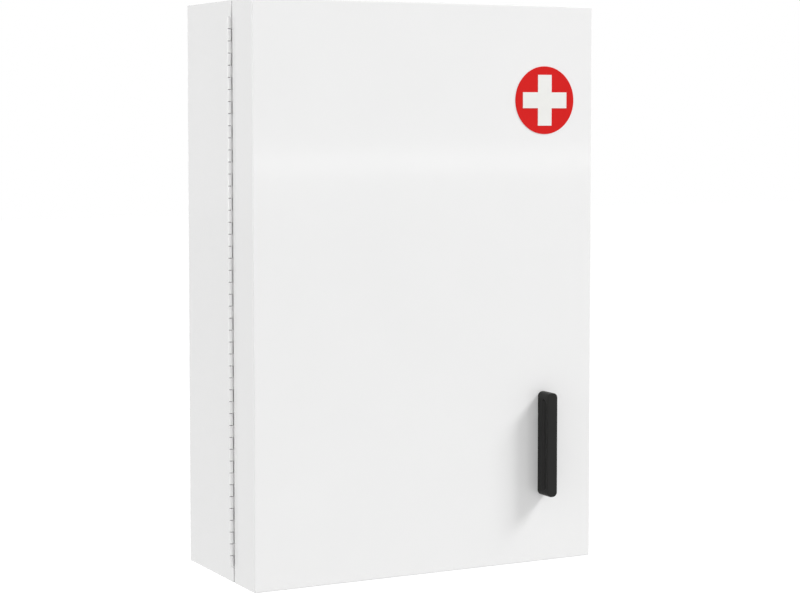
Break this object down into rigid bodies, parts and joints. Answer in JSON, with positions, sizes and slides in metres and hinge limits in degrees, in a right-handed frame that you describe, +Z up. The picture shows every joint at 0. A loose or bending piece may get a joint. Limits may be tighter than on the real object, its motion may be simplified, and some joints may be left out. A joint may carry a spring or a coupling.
{
  "type": "medicine cabinet",
  "caption": "Lockable white steel wall cabinet with a deep door on a full-length piano hinge, a black pull handle, a side lock, shelves, door trays and a first-aid disc.",
  "frame": {"origin": "centre of the four wall holes, on the wall plane", "axes": "+X to the right seen from the front, +Y into the wall, +Z up"},
  "size_m": [0.4068, 0.1977, 0.6],
  "materials": {
    "white_paint": "gloss powder coat",
    "black_plastic": "satin moulded plastic",
    "red_sign": "satin vinyl",
    "white_sign": "satin vinyl",
    "zinc_plate": "bright zinc plate",
    "lock_chrome": "polished chrome plate",
    "pole_steel": "ground steel",
    "magnet": "sintered ferrite",
    "grey_rubber": "soft grey rubber"
  },
  "bodies": {
    "case": {"case_shell": "white_paint", "back_panel": "white_paint", "shelf_rails": "white_paint", "shelf_lower": "white_paint", "shelf_upper": "white_paint", "shelf_clips": "zinc_plate", "hinge_leaf_case": "white_paint", "hinge_pin": "zinc_plate", "lock_keeper": "zinc_plate", "catch_housing": "black_plastic", "catch_magnet": "magnet", "catch_poles": "pole_steel", "door_buffers": "grey_rubber"},
    "door": {"door_pan": "white_paint", "hinge_leaf_door": "white_paint", "handle": "black_plastic", "handle_screws": "zinc_plate", "handle_washers": "zinc_plate", "first_aid_disc": "red_sign", "first_aid_cross": "white_sign", "door_tray_lower": "white_paint", "door_tray_middle": "white_paint", "door_tray_upper": "white_paint", "lock_barrel": "lock_chrome", "lock_nut": "zinc_plate"},
    "lock": {"lock_plug": "lock_chrome", "lock_cam": "zinc_plate", "cam_screw": "zinc_plate"}
  },
  "joints": [
    {"name": "door_hinge", "type": "hinge", "parent": "case", "child": "door", "pos_m": [-0.2025, -0.1235, 0], "axis": [0, 0, -1], "range_deg": [0, 180]},
    {"name": "lock_turn", "type": "hinge", "parent": "door", "child": "lock", "pos_m": [0.2, -0.141, -0.1706], "axis": [1, 0, 0], "range_deg": [0, 90]}
  ]
}
